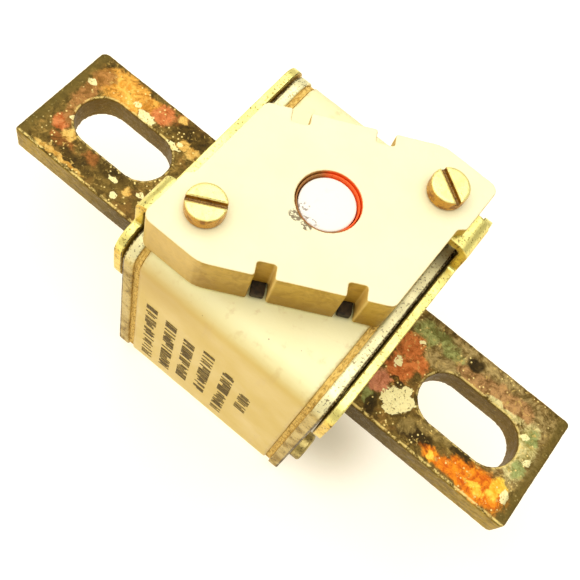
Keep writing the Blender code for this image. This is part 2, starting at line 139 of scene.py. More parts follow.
class Paint:
    """Node tree of one material. Its coordinates are the object's own, in millimetres."""

    def __init__(self, name, metal=0.0, **fixed):
        self.mat = bpy.data.materials.new(name)
        self.mat.use_nodes = True
        self.tree = self.mat.node_tree
        self.shader = self.tree.nodes["Principled BSDF"]
        self.shader.inputs["Metallic"].default_value = metal
        for socket, value in fixed.items():
            self.shader.inputs[socket.replace("_", " ")].default_value = value
        coords = self.add("TexCoord").outputs
        scale = self.add("VectorMath", operation="MULTIPLY")
        self.feed(scale.inputs[0], coords["Object"])
        scale.inputs[1].default_value = (1 / MM,) * 3
        self.here = scale.outputs[0]
        self.across = self.split(self.here)
        self.facing = self.split(coords["Normal"])

    def add(self, kind, **settings):
        """New shader node."""
        node = self.tree.nodes.new("ShaderNode" + kind)
        for key, value in settings.items():
            setattr(node, key, value)
        return node

    def feed(self, socket, value):
        """Link a socket to another one, or give it a plain value."""
        if isinstance(value, bpy.types.NodeSocket):
            self.tree.links.new(value, socket)
        else:
            socket.default_value = value

    def split(self, vector):
        """X, Y and Z of a vector."""
        node = self.add("SeparateXYZ")
        self.feed(node.inputs[0], vector)
        return node.outputs

    def math(self, operation, a, b=0.0):
        node = self.add("Math", operation=operation)
        self.feed(node.inputs[0], a)
        self.feed(node.inputs[1], b)
        return node.outputs[0]

    def both(self, a, b):
        """Product of two masks."""
        return self.math("MULTIPLY", a, b)

    def noise(self, size, detail=4.0, rough=0.55, warp=0.0, at=None):
        """Cloudy value round 0.5 whose blobs are about size millimetres."""
        node = self.add("TexNoise")
        self.feed(node.inputs["Vector"], at or self.here)
        node.inputs["Scale"].default_value = 1 / size
        node.inputs["Detail"].default_value = detail
        node.inputs["Roughness"].default_value = rough
        node.inputs["Distortion"].default_value = warp
        return node.outputs[0]

    def cells(self, size, random_places=1.0):
        """Distance from the middle of each cell, in cells."""
        node = self.add("TexVoronoi")
        self.feed(node.inputs["Vector"], self.here)
        node.inputs["Scale"].default_value = 1 / size
        node.inputs["Randomness"].default_value = random_places
        return node.outputs["Distance"]

    def stretched(self, x, y, z):
        """The coordinates, made coarser along an axis where its number is above 1."""
        node = self.add("VectorMath", operation="DIVIDE")
        self.feed(node.inputs[0], self.here)
        node.inputs[1].default_value = (x, y, z)
        return node.outputs[0]

    def ramp(self, value, low, high, start=0.0, end=1.0):
        """Smooth step of a value from start at low to end at high."""
        node = self.add("MapRange", interpolation_type="SMOOTHSTEP")
        self.feed(node.inputs["Value"], value)
        node.inputs["From Min"].default_value = low
        node.inputs["From Max"].default_value = high
        node.inputs["To Min"].default_value = start
        node.inputs["To Max"].default_value = end
        return node.outputs[0]

    def band(self, value, low, high, soft):
        """1 between low and high, 0 outside, with soft edges."""
        return self.both(self.ramp(value, low - soft, low + soft),
                         self.ramp(value, high - soft, high + soft, 1, 0))

    def spots(self, places, wobble=1.6, ragged=0.5):
        """1 in the middle of ragged ellipses, given as (x, y, half length, half width).

        It falls to a third at an ellipse's rim and to 0 at fade times its size. Each
        ellipse is the section of a tall column, so that height makes no difference.
        """
        lift = wobble * ragged
        fade, tall = 1.5, 1000
        push = self.add("TexNoise")
        self.feed(push.inputs["Vector"], self.here)
        push.inputs["Scale"].default_value = 1 / wobble
        push.inputs["Detail"].default_value = 4
        shift = self.add("VectorMath", operation="MULTIPLY_ADD")
        self.feed(shift.inputs[0], push.outputs["Color"])
        shift.inputs[1].default_value = (2 * lift,) * 3
        self.feed(shift.inputs[2], self.here)
        total = 0.0
        for x, y, half_x, half_y in places:
            ellipse = self.add("Mapping", vector_type="TEXTURE")
            self.feed(ellipse.inputs["Vector"], shift.outputs[0])
            ellipse.inputs["Location"].default_value = (x + lift, y + lift, 0)
            ellipse.inputs["Scale"].default_value = (half_x * fade, half_y * fade, tall)
            ball = self.add("TexGradient", gradient_type="SPHERICAL")
            self.feed(ball.inputs["Vector"], ellipse.outputs[0])
            total = self.math("MAXIMUM", ball.outputs["Fac"], total)
        return total

    def mix(self, mask, a, b):
        """Colour that goes from a to b with the mask."""
        node = self.add("Mix", data_type="RGBA")
        self.feed(node.inputs[0], mask)
        for socket, value in ((node.inputs[6], a), (node.inputs[7], b)):
            self.feed(socket, (*value, 1) if isinstance(value, tuple) else value)
        return node.outputs[2]

    def layers(self, base, coats):
        """Colour after coats of (mask, colour) over a base."""
        for mask, colour in coats:
            base = self.mix(mask, base, colour)
        return base

    def finish(self, colour, rough, height=None, depth=0.05):
        """Connect the colour, the roughness and a height of depth millimetres."""
        self.feed(self.shader.inputs["Base Color"], (*colour, 1) if isinstance(colour, tuple) else colour)
        self.feed(self.shader.inputs["Roughness"], rough)
        if height is not None:
            bump = self.add("Bump")
            bump.inputs["Distance"].default_value = depth * MM
            self.feed(bump.inputs["Height"], height)
            self.feed(self.shader.inputs["Normal"], bump.outputs[0])
        return self.mat


def ceramic_look():
    """Cream glaze with painted light and shade: the walls painted darker and yellower as shade, a painted
    shadow under the adapter, and painted floor light near the bottom.
    """
    paint = Paint("ceramic_glaze", Specular_IOR_Level=0.4)
    cloud = paint.noise(11, 3)
    fine = paint.noise(0.7, 5)
    dirt = paint.both(paint.ramp(paint.cells(2.3), 0.07, 0.03),
                      paint.ramp(paint.noise(7, 2), 0.5, 0.6, 0, 0.7))
    streak = paint.ramp(paint.noise(2.4, 4, at=paint.stretched(1, 1, 5)), 0.56, 0.75, 0, 0.35)
    edge = paint.ramp(paint.math("ABSOLUTE", paint.across[0]), BODY_X - 1.2, BODY_X, 0, 0.4)
    # painted shade: faces that turn away from up get the darker, yellower wall colour
    wall = paint.ramp(paint.math("ABSOLUTE", paint.facing[2]), 1.0, 0.1)
    shade = paint.both(paint.ramp(paint.across[0], 2, -14, 0, 0.55),
                       paint.both(wall, paint.ramp(paint.across[2], 34, 43)))
    # painted light: the lowest 6 mm get lighter, standing for light bounced up from the floor
    foot = paint.ramp(paint.across[2], 6, 0, 0, 0.6)
    colour = paint.layers(paint.mix(cloud, tint(255, 253, 210), tint(254, 249, 192)), (
        (wall, paint.mix(cloud, tint(232, 205, 112), tint(217, 187, 92))),
        (streak, tint(214, 182, 112)),
        (shade, tint(200, 166, 84)),
        (paint.both(edge, paint.ramp(fine, 0.4, 0.6)), tint(190, 150, 84)),
        (dirt, tint(150, 116, 60)),
        (foot, tint(250, 236, 184)),
    ))
    return paint.finish(colour, paint.ramp(cloud, 0.3, 0.7, 0.32, 0.5), paint.mix(0.5, fine, cloud), 0.05)


def plastic_look():
    """Cream moulding with painted shade on its walls: ochre, mottled, darkest on walls facing +X and towards
    the bottom; the indicator hole's wall painted brown in shade and red-orange where lit; a smudge beside
    the indicator.
    """
    paint = Paint("adapter_plastic", Specular_IOR_Level=0.35)
    cloud = paint.noise(8, 4)
    grain = paint.noise(0.35, 3)
    mottle = paint.noise(2.4, 5, 0.6, 0.8)
    # painted shade: the walls get darker towards the bottom
    low = paint.ramp(paint.across[2], ADAPTER_Z[0], ADAPTER_Z[1] - 0.3, 1, 0)
    wall = paint.ramp(paint.math("ABSOLUTE", paint.facing[2]), 0.98, 0.3)
    # painted shade on the walls, strongest where they face +X
    shaded = paint.both(wall, paint.ramp(paint.facing[0], -0.1, 0.45, 0.3, 1))
    blots = paint.spots([(-2.4, -5.7, 1.1, 0.8), (0.0, -6.0, 0.9, 0.6)], 0.8)
    smudge = paint.both(paint.ramp(paint.noise(0.6, 4), 0.46, 0.54), paint.ramp(blots, 0.15, 0.4, 0, 0.85))
    # painted light and shade on the wall of the indicator hole: brown shade on the near side, lit red-orange
    # on the far side
    inner = paint.both(wall, paint.ramp(rings(paint), HOLE_R + 0.5, HOLE_R + 0.2))
    colour = paint.layers(paint.mix(cloud, tint(255, 252, 216), tint(252, 246, 202)), (
        (wall, tint(240, 208, 122)),
        (shaded, paint.mix(paint.ramp(mottle, 0.35, 0.65), tint(180, 142, 36), tint(212, 174, 60))),
        (paint.both(shaded, paint.both(low, 0.8)), tint(150, 112, 22)),
        (paint.both(shaded, paint.ramp(mottle, 0.58, 0.7, 0, 0.3)), tint(120, 86, 26)),
        (smudge, tint(100, 76, 46)),
        (inner, paint.mix(lit_far_side(paint), tint(190, 140, 76), tint(255, 104, 34))),
    ))
    return paint.finish(colour, paint.ramp(cloud, 0.3, 0.7, 0.42, 0.55), grain, 0.03)


def rings(paint):
    """Distance from the indicator's axis."""
    squares = (paint.both(paint.across[axis], paint.across[axis]) for axis in (0, 1))
    return paint.math("SQRT", paint.math("ADD", *squares))


def lit_far_side(paint):
    """1 on the indicator's side towards the rear right, painted as lit; 0 on the near side, painted as
    shade.
    """
    along, aside = (paint.both(paint.across[axis], part) for axis, part in ((0, 0.6), (1, 0.8)))
    ahead = paint.math("ADD", along, aside)
    return paint.ramp(ahead, -0.5, 2.5)


def gasket_look():
    """Ochre fibre with darker patches."""
    paint = Paint("gasket_fibre", Specular_IOR_Level=0.2)
    fibre = paint.noise(0.3, 5, at=paint.stretched(1, 2.5, 2.5))
    colour = paint.layers(paint.mix(paint.ramp(fibre, 0.35, 0.6), tint(190, 150, 70), tint(238, 204, 116)), (
        (paint.ramp(paint.noise(1.2, 3), 0.56, 0.66, 0, 0.6), tint(140, 104, 44)),
    ))
    return paint.finish(colour, 0.85, fibre, 0.12)


def plated_look(name, bright, dull, dark, top_highlight, highlight_strength, gap_shade, rough=0.34, metal=0.75):
    """Plated steel: dull patches, dirt, a painted highlight where it faces up, painted shade where it faces
    sideways, and painted shade along the gap beside the bracket.

    The gap shade is the |x| where its dark begins and the |x| where it is full.
    """
    paint = Paint(name, metal)
    cloud = paint.noise(3.6, 5, 0.6)
    grit = paint.noise(0.42, 4)
    scratch = paint.noise(0.5, 3, at=paint.stretched(1, 14, 1))
    # painted highlight: faces that look up get the highlight colour, broken by grit
    up = paint.ramp(paint.facing[2], 0.1, 0.7, 0, highlight_strength)
    # painted shade in the narrow gap between end plate and bracket, on the faces that look into it
    rim = paint.both(paint.ramp(paint.across[2], BRACKET_TOP + 1.1, BRACKET_TOP + 0.6),
                     paint.ramp(paint.math("ABSOLUTE", paint.facing[0]), 0.95, 0.8))
    line = paint.both(paint.ramp(paint.math("ABSOLUTE", paint.across[0]), *gap_shade), rim)
    # painted shade: faces that turn away from up get the dull colour
    low = paint.ramp(paint.facing[2], 0.6, 0.2, 0, 0.5)
    colour = paint.layers(paint.mix(paint.ramp(cloud, 0.4, 0.62), bright, dull), (
        (paint.ramp(scratch, 0.6, 0.75, 0, 0.4), bright),
        (low, dull),
        (paint.both(paint.ramp(grit, 0.52, 0.64), paint.ramp(cloud, 0.42, 0.6, 0.3, 1)), dark),
        (paint.both(up, paint.ramp(grit, 0.62, 0.58, 0.3, 1)), top_highlight),
        (paint.both(line, paint.ramp(grit, 0.58, 0.52, 0.1, 1)), tint(82, 64, 24)),
    ))
    rough_map = paint.ramp(cloud, 0.35, 0.65, rough, rough + 0.2)
    return paint.finish(colour, rough_map, paint.mix(0.5, grit, scratch), 0.05)


def brass_look():
    """Bright turned brass, with painted shade on its side, darker where tarnished, and painted shade in the
    slot.
    """
    paint = Paint("screw_brass", 0.5)
    tarnish = paint.noise(1.5, 4)
    turned = paint.noise(0.18, 2)
    # painted shade: faces that turn away from up get a browner colour
    side = paint.ramp(paint.facing[2], 0.7, 0.3)
    # painted shade on the floor of the driver's slot
    slot_shade = paint.both(paint.ramp(paint.facing[2], 0.3, 0.7),
                        paint.ramp(paint.across[2], ADAPTER_HEAD_TOP - 0.4, ADAPTER_HEAD_TOP - 0.65))
    colour = paint.layers(tint(253, 242, 158), (
        (paint.ramp(tarnish, 0.52, 0.66, 0, 0.4), tint(240, 214, 120)),
        (paint.ramp(paint.noise(0.5, 4, 0.7), 0.6, 0.66, 0, 0.6), tint(196, 160, 70)),
        (side, tint(206, 152, 48)),
        (paint.both(side, paint.ramp(tarnish, 0.5, 0.62)), tint(150, 96, 30)),
        (slot_shade, paint.mix(paint.ramp(turned, 0.4, 0.6), tint(84, 56, 20), tint(150, 110, 40))),
    ))
    return paint.finish(colour, paint.ramp(tarnish, 0.4, 0.6, 0.26, 0.38), turned, 0.03)


def copper_look(side):
    """Silver-plated copper, tarnished, flaked and worn; each end has its own patches."""
    paint = Paint("tarnished_copper_" + side, 0.3, Specular_IOR_Level=0.12)
    wide = paint.noise(6.0, 5, 0.6, 0.8)
    fine = paint.noise(1.3, 7, 0.7, 0.6)
    grit = paint.noise(0.4, 4)
    swirl = paint.noise(2.6, 7, 0.7, 1.6)
    top = paint.ramp(paint.facing[2], 0.5, 0.85)
    torn = paint.math("ADD", paint.both(fine, 0.5), paint.both(swirl, 0.7))
    coats = [
        (paint.ramp(swirl, 0.5, 0.66, 0, 0.75), tint(164, 134, 66)),
        (paint.ramp(wide, 0.52, 0.64, 0, 0.5), tint(146, 106, 50)),
        (paint.ramp(swirl, 0.47, 0.34, 0, 0.75), tint(68, 52, 18)),
    ]
    for light_colour, dark_colour, strength, places in PATCHES[side]:
        field = paint.math("ADD", paint.spots(places, 2.4, 0.7), torn)
        shades = paint.mix(paint.ramp(paint.mix(0.6, fine, swirl), 0.4, 0.6), dark_colour, light_colour)
        coats.append((paint.ramp(field, 0.68, 1.06, 0, strength), shades))
    flakes = paint.ramp(paint.noise(1.1, 6, 0.65, 0.5), 0.58, 0.66, 0, 0.8)
    specks = paint.both(paint.ramp(paint.cells(0.95), 0.24, 0.14),
                        paint.ramp(paint.noise(3.2, 2), 0.47, 0.55))
    coats += [
        (paint.both(flakes, paint.ramp(wide, 0.4, 0.6, 0.25, 0.9)), tint(224, 190, 104)),
        (specks, tint(244, 222, 142)),
        (paint.ramp(paint.noise(0.9, 6, 0.7), 0.56, 0.68, 0, 0.5), tint(62, 48, 18)),
    ]
    chips = paint.math("ADD", paint.spots(CREAM[side], 1.2, 0.7), paint.ramp(fine, 0.3, 0.7, -0.14, 0.14))
    coats.append((paint.both(paint.ramp(chips, 0.3, 0.36), paint.ramp(grit, 0.34, 0.42)),
                  paint.mix(grit, tint(244, 226, 150), tint(255, 253, 200))))
    bar_end = paint.ramp(paint.math("ABSOLUTE", paint.across[0]), BLADE_END - 3.2, BLADE_END - 1.2, 0, 0.8)
    coats.append((bar_end, paint.mix(fine, tint(78, 64, 24), tint(130, 112, 52))))
    hole = slot_distance(paint)
    # painted highlight: thin bright lines along the slot's rim and the front edge of the top
    slot_rim_highlight = paint.band(hole, 0.1, 0.5, 0.14)
    front_edge_highlight = paint.band(paint.across[1], 0.3 - BLADE_Y, 0.7 - BLADE_Y, 0.16)
    for line, strength in ((slot_rim_highlight, 0.8), (front_edge_highlight, 1)):
        coats.append((paint.both(line, paint.ramp(fine, 0.42, 0.58, 0, strength)), tint(242, 218, 134)))
    worn = paint.layers(paint.mix(paint.ramp(fine, 0.38, 0.62), tint(86, 68, 24), tint(132, 108, 50)), coats)
    streak = paint.noise(1.0, 5, at=paint.stretched(2, 2, 1))
    away = paint.ramp(paint.math("ABSOLUTE", paint.across[0]), 26, 56)
    olive = paint.layers(paint.mix(away, tint(90, 72, 22), tint(178, 148, 58)), (
        (paint.ramp(streak, 0.45, 0.62, 0, 0.5), tint(92, 72, 26)),
        # painted shade: the walls inside the slot get darker
        (paint.ramp(hole, 1.2, 0.4, 0, 0.8), paint.mix(streak, tint(66, 50, 16), tint(150, 120, 50))),
        (paint.ramp(grit, 0.6, 0.7, 0, 0.5), tint(214, 184, 98)),
    ))
    colour = paint.mix(top, olive, worn)
    return paint.finish(colour, paint.ramp(fine, 0.35, 0.65, 0.36, 0.6), paint.mix(0.5, fine, grit), 0.22)


def slot_distance(paint):
    """Distance outwards from the rim of the blade's slot."""
    half = (SLOT_X[1] - SLOT_X[0]) / 2 - SLOT_R
    along = paint.math("SUBTRACT", paint.math("ABSOLUTE", paint.across[0]), sum(SLOT_X) / 2)
    past = paint.math("MAXIMUM", paint.math("SUBTRACT", paint.math("ABSOLUTE", along), half), 0.0)
    squares = (paint.both(v, v) for v in (past, paint.across[1]))
    return paint.math("SUBTRACT", paint.math("SQRT", paint.math("ADD", *squares)), SLOT_R)


# Tarnish on each blade's top: light colour, dark colour, strength, and where, as the places of
# Paint.spots. A later patch lies over the ones before it.
PATCHES = {
    "left": (
        (tint(252, 190, 84), tint(190, 124, 38), 1.0,
         [(-49, 8.3, 6.5, 3.2), (-44, 9.4, 3.5, 1.8), (-47.5, 6.4, 3, 1.3)]),
        (tint(255, 216, 104), tint(236, 160, 52), 0.8,
         [(-49.8, 8.8, 2.8, 1.5), (-46, 7.4, 1.6, 0.9)]),
        (tint(226, 142, 84), tint(180, 92, 36), 0.95,
         [(-40.3, 9.3, 2.2, 2), (-53.1, -5.5, 1.6, 1.6)]),
        (tint(190, 134, 76), tint(134, 92, 38), 0.85,
         [(-54, 2.5, 1.6, 3.4), (-54, 8, 2, 2), (-52.6, -2.6, 1.4, 2)]),
        (tint(176, 110, 54), tint(118, 74, 26), 0.85,
         [(-50, -8.2, 2.6, 1.4), (-43.6, -7.4, 1.6, 1.4), (-36.6, 11, 1.4, 1.3)]),
        (tint(92, 72, 28), tint(52, 40, 12), 0.9,
         [(-33, 9.6, 4, 2.2), (-45.4, -9.8, 3.6, 1.2), (-38.5, -6.5, 3, 2)]),
        (tint(250, 212, 118), tint(200, 146, 56), 0.9,
         [(-50, -6.4, 1.2, 1.2), (-30.4, 6.8, 1.3, 1.2), (-34, -8, 1, 0.8),
          (-36.5, 11.2, 0.9, 0.8), (-48, -11.4, 5.5, 0.5), (-32.8, 7, 0.9, 0.9)]),
    ),
    "right": (
        (tint(196, 172, 112), tint(110, 88, 42), 0.85,
         [(40, 9, 15, 3), (53.6, 2, 3, 8), (34, 5.5, 5, 1.4)]),
        (tint(170, 182, 108), tint(104, 106, 48), 0.8,
         [(26.6, 8.3, 2.4, 2.4), (29.8, 9.6, 2.2, 1.2), (33, 8.2, 2.4, 1.4), (25.3, -9, 1.4, 1.4)]),
        (tint(230, 136, 70), tint(170, 88, 34), 0.95,
         [(25.6, 4.2, 2.4, 2.6), (26.5, -0.8, 2.4, 2.8), (29, 2.2, 2, 1.6)]),
        (tint(232, 156, 116), tint(184, 108, 72), 0.9, [(25, -5.2, 1.6, 2)]),
        (tint(200, 148, 94), tint(120, 82, 40), 0.75,
         [(38, 7.4, 3.4, 1.4), (43.5, 7.8, 4, 2), (48.6, 8, 3, 2.2)]),
        (tint(244, 232, 166), tint(160, 148, 78), 0.9,
         [(53.2, 3, 2, 4), (53.8, -2.4, 1.8, 2), (46.5, 6.2, 4, 0.6)]),
        (tint(156, 176, 104), tint(110, 116, 54), 0.8,
         [(54, 5.2, 1.2, 1.3), (54.6, -2, 1.2, 1.5)]),
        (tint(76, 58, 22), tint(42, 32, 10), 0.95,
         [(37.4, 9.6, 1.6, 1.1), (36, -9.2, 3.4, 1.6), (45, -6.6, 3.4, 0.8), (27.4, -3.2, 1.6, 0.6),
          (26.2, -9.6, 1, 2)]),
        (tint(170, 146, 84), tint(116, 96, 46), 0.8,
         [(38, -6.6, 3.4, 1.1), (33.8, -8.6, 1.4, 1.4)]),
        (tint(255, 160, 36), tint(206, 92, 14), 1.0,
         [(50.6, -9, 4.8, 2.8), (43.5, -10.2, 5, 1.2), (46.5, -8.4, 2.6, 1.2)]),
        (tint(255, 228, 90), tint(252, 170, 34), 1.0,
         [(53.2, -7.4, 1.5, 1.9), (50, -9.8, 2, 0.8), (40.4, -10.4, 1, 0.6)]),
    ),
}
# Cream flakes on each blade's top.
CREAM = {
    "left": [(-42.2, 6.6, 1.9, 1.2), (-45.4, 7.6, 0.9, 0.7), (-37.6, -7.9, 0.9, 0.5),
             (-35.3, -10.4, 0.7, 0.6), (-34.6, 5.5, 1.8, 0.5), (-33.4, 6.7, 0.7, 0.5),
             (-52, -3, 0.5, 0.8), (-54.9, 5.4, 1.1, 0.7), (-31, -7, 1.4, 0.5)],
    "right": [(29.8, -6.2, 2.4, 2.6), (31.3, -5.2, 1.6, 1.6), (28.2, -6.6, 1.6, 1.9),
              (30.2, -3.6, 1.1, 1.1), (29.3, -8.4, 1.3, 0.9), (25.5, 0.2, 0.9, 1.1),
              (55.3, 0.3, 0.6, 0.7), (55.3, -7.6, 0.8, 1.3), (27, 6.4, 0.6, 0.5), (52.4, 4.2, 0.8, 0.6)],
}


def plain_look(name, light, dark, size, rough, metal=0.0, depth=0.03):
    """Two-tone grained material of a small or inner piece."""
    paint = Paint(name, metal)
    grain = paint.noise(size, 4)
    return paint.finish(paint.mix(paint.ramp(grain, 0.35, 0.65), light, dark), rough, grain, depth)


def bezel_look():
    """Red-orange rim, painted brown as shade on its near side and lit red-orange on its far side."""
    paint = Paint("indicator_bezel", Specular_IOR_Level=0.4)
    return paint.finish(paint.mix(lit_far_side(paint), tint(170, 116, 56), tint(255, 104, 34)), 0.45)


def cap_look():
    """White disc with a smudge near its front edge."""
    paint = Paint("indicator_white", Specular_IOR_Level=0.4)
    blots = paint.spots([(-2.6, -3.3, 0.8, 1.0), (-0.2, -4.3, 1.4, 0.4)])
    smudge = paint.both(paint.ramp(paint.noise(0.5, 4), 0.5, 0.6), paint.ramp(blots, 0.1, 0.5, 0, 0.8))
    colour = paint.layers(tint(252, 251, 246), (
        (paint.ramp(paint.noise(2.5, 4), 0.55, 0.75, 0, 0.15), tint(232, 224, 200)),
        (smudge, tint(124, 104, 84)),
    ))
    return paint.finish(colour, 0.42, paint.noise(0.6, 3), 0.02)


# no painted gap shade on the steel look
NO_GAP_SHADE = (60, 61)                # past the blades' ends
LOOKS = {
    "ceramic": ceramic_look(),
    "plastic": plastic_look(),
    "gasket": gasket_look(),
    # plated, zinc and steel: the fourth colour and the number after it are the painted highlight on faces
    # that look up
    "plated": plated_look("plated_steel", tint(232, 210, 126), tint(164, 134, 56), tint(88, 68, 24),
                          tint(255, 252, 204), 0.9, (PLATE_X[1] - 0.5, PLATE_X[1] - 0.25), 0.4, 0.55),
    "zinc": plated_look("yellow_zinc", tint(250, 230, 116), tint(218, 180, 70), tint(104, 78, 22),
                        tint(255, 250, 160), 0.85,
                        (BRACKET_OUT - BRACKET_T + 0.25, BRACKET_OUT - BRACKET_T + 0.1), 0.3),
    "brass": brass_look(),
    "steel": plated_look("screw_steel", tint(226, 206, 130), tint(120, 98, 44), tint(50, 38, 14),
                         tint(240, 224, 150), 0.4, NO_GAP_SHADE),
    "copper_left": copper_look("left"),
    "copper_right": copper_look("right"),
    # painted shade: the liner's black stands for the dark inside the adapter's hollow
    "liner": plain_look("shade_black_liner", tint(34, 26, 14), tint(70, 54, 30), 0.8, 0.7),
    "red": plain_look("indicator_red", tint(246, 74, 24), tint(214, 44, 14), 1.5, 0.4),
    "bezel": bezel_look(),
    "cap": cap_look(),
    "ink": plain_look("print_ink", tint(92, 74, 32), tint(122, 100, 50), 0.5, 0.7),
    "silver": plain_look("strip_silver", tint(226, 224, 216), tint(190, 186, 172), 0.6, 0.35, 1.0),
    "sand": plain_look("quartz_sand", tint(232, 218, 186), tint(176, 156, 116), 0.4, 0.95, 0.0, 0.3),
    "tube": plain_look("tube_brass", tint(222, 186, 98), tint(176, 136, 64), 1.0, 0.35, 1.0),
    "wire": plain_look("spring_steel", tint(200, 198, 190), tint(150, 146, 136), 0.5, 0.3, 1.0),
}


# ---- mesh tools ----
def rounded(corners, step=9):
    """Closed outline through (a, b, radius) corners, each corner an arc."""
    out = []
    for i, (a, b, radius) in enumerate(corners):
        here = Vector((a, b))
        before = (Vector(corners[i - 1][:2]) - here).normalized()
        after = (Vector(corners[(i + 1) % len(corners)][:2]) - here).normalized()
        angle = before.angle(after)
        if radius <= 0 or abs(angle - pi) < 1e-4:
            out.append((a, b))
            continue
        centre = here + (before + after).normalized() * (radius / sin(angle / 2))
        first = here + before * (radius / tan(angle / 2)) - centre
        last = here + after * (radius / tan(angle / 2)) - centre
        begin = atan2(first.y, first.x)
        sweep = (atan2(last.y, last.x) - begin + pi) % (2 * pi) - pi
        steps = max(2, round(abs(sweep) / radians(step)))
        for k in range(steps + 1):
            t = begin + sweep * k / steps
            out.append((centre.x + radius * cos(t), centre.y + radius * sin(t)))
    return out


def rectangle(a, b, radius=0.0, at=(0.0, 0.0)):
    """Outline of a rectangle from its half sides."""
    u, v = at
    corners = ((u - a, v - b), (u + a, v - b), (u + a, v + b), (u - a, v + b))
    return rounded([(p, q, radius) for p, q in corners])


def circle(radius, at=(0.0, 0.0), sides=48):
    turns = [2 * pi * k / sides for k in range(sides)]
    return [(at[0] + radius * cos(t), at[1] + radius * sin(t)) for t in turns]


def solid(name, mesh):
    """New object in the scene."""
    obj = bpy.data.objects.new(name, mesh)
    bpy.context.scene.collection.objects.link(obj)
    return obj


def settle(obj):
    """Apply the object's modifiers and its place to its mesh."""
    graph = bpy.context.evaluated_depsgraph_get()
    mesh = bpy.data.meshes.new_from_object(obj.evaluated_get(graph))
    mesh.transform(obj.matrix_world)
    obj.modifiers.clear()
    obj.data = mesh
    obj.matrix_world = Matrix.Identity(4)
    return obj


def prism(name, outlines, low, high, axis="Z"):
    """Flat piece from closed outlines; an outline inside another is a hole."""
    curve = bpy.data.curves.new(name, "CURVE")
    curve.dimensions = "2D"
    curve.fill_mode = "BOTH"
    curve.extrude = (high - low) / 2 * MM
    for outline in outlines:
        spline = curve.splines.new("POLY")
        spline.points.add(len(outline) - 1)
        spline.use_cyclic_u = True
        for point, (a, b) in zip(spline.points, outline):
            point.co = (a * MM, b * MM, 0, 1)
    guide = solid(name + "_outline", curve)
    guide.rotation_euler = FACING[axis]
    guide.location["XYZ".index(axis)] = (low + high) / 2 * MM
    bpy.context.view_layer.update()
    graph = bpy.context.evaluated_depsgraph_get()
    mesh = bpy.data.meshes.new_from_object(guide.evaluated_get(graph))
    mesh.transform(guide.matrix_world)
    bpy.data.objects.remove(guide, do_unlink=True)
    bm = bmesh.new()
    bm.from_mesh(mesh)
    bmesh.ops.remove_doubles(bm, verts=bm.verts, dist=1e-6)
    bmesh.ops.recalc_face_normals(bm, faces=bm.faces)
    bm.to_mesh(mesh)
    bm.free()
    return solid(name, mesh)


def turned(name, profile, at, axis="Z", sides=96, ring=False):
    """Revolve (radius, height) points, listed down the outer side; a ring's close on themselves."""
    mesh = bpy.data.meshes.new(name)
    edges = [(i, i + 1) for i in range(len(profile) - 1)]
    if ring:
        edges.append((len(profile) - 1, 0))
    mesh.from_pydata([(r * MM, 0, h * MM) for r, h in profile], edges, [])
    obj = solid(name, mesh)
    obj.location = Vector(at) * MM
    obj.rotation_euler = FACING[axis]
    screw = obj.modifiers.new("turn", "SCREW")
    screw.steps = screw.render_steps = sides
    screw.use_merge_vertices = True
    screw.merge_threshold = 1e-6
    bpy.context.view_layer.update()
    return settle(obj)


def cut(obj, *tools, operation="DIFFERENCE"):
    """Apply Booleans with the tools, which are removed."""
    for tool in tools:
        mod = obj.modifiers.new(tool.name, "BOOLEAN")
        mod.operation = operation
        mod.solver = "EXACT"
        mod.object = tool
    settle(obj)
    for tool in tools:
        bpy.data.objects.remove(tool, do_unlink=True)
    return obj


def bevel(obj, width, segments=3, angle=40):
    """Round the edges that are sharper than the angle."""
    mod = obj.modifiers.new("edges", "BEVEL")
    mod.width = width * MM
    mod.segments = segments
    mod.limit_method = "ANGLE"
    mod.angle_limit = radians(angle)
    return settle(obj)


def refine(obj, voxel, smooth=3, waves=()):
    """Even, fine mesh of one solid, then waves of (size, depth) millimetres over it."""
    remesh = obj.modifiers.new("fine", "REMESH")
    remesh.mode = "VOXEL"
    remesh.voxel_size = voxel * MM
    relax = obj.modifiers.new("relax", "SMOOTH")
    relax.factor = 0.5
    relax.iterations = smooth
    for size, depth in waves:
        clouds = bpy.data.textures.new("%s_%g" % (obj.name, size), "CLOUDS")
        clouds.noise_scale = size * MM
        clouds.noise_depth = 3
        mod = obj.modifiers.new("waves", "DISPLACE")
        mod.texture = clouds
        mod.texture_coords = "LOCAL"
        mod.strength = depth * MM
        mod.mid_level = 0.6
    settle(obj)
    obj.data.shade_smooth()
    return obj


def piece(obj, look, slot, *nodes, body="fuse", sharp=None):
    """Finish a piece: its material, its body and the nodes it stands for. The slot argument is not used."""
    obj.data.materials.clear()
    obj.data.materials.append(LOOKS[look])
    if sharp is not None:
        obj.data.shade_smooth()
        obj.data.set_sharp_from_angle(angle=radians(sharp))
    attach(obj, body)
    if nodes:
        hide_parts(*nodes)
    return obj


def holes(name, spots, radius, low, high, side=1):
    """Cutter of round holes along X at (y, z) spots of one end."""
    flat = [circle(radius, (side * y, z), 36) for y, z in spots]
    ends = sorted((side * low, side * high))
    return prism(name, flat, *ends, "X")


# ---- ceramic body and its ends ----
def ceramic_body():
    """Square tube with the indicator's bore in its upper wall."""
    inset = 0.06
    half = (BODY_Z[1] - BODY_Z[0]) / 2 - inset
    outer = rectangle(BODY_Y - inset, half, BODY_R, (0, MID_Z))
    inner = rectangle(CAVITY, CAVITY, CAVITY_R, (0, MID_Z))
    body = prism("ceramic", [outer, inner], inset - BODY_X, BODY_X - inset, "X")
    bevel(body, 0.6)
    cut(body, prism("bore", [circle(BORE_R)], MID_Z + 10, MID_Z + 30))
    refine(body, 0.42, 3, ((5.0, 0.10), (1.2, 0.05)))
    piece(body, "ceramic", "ceramic", "ceramic_body")


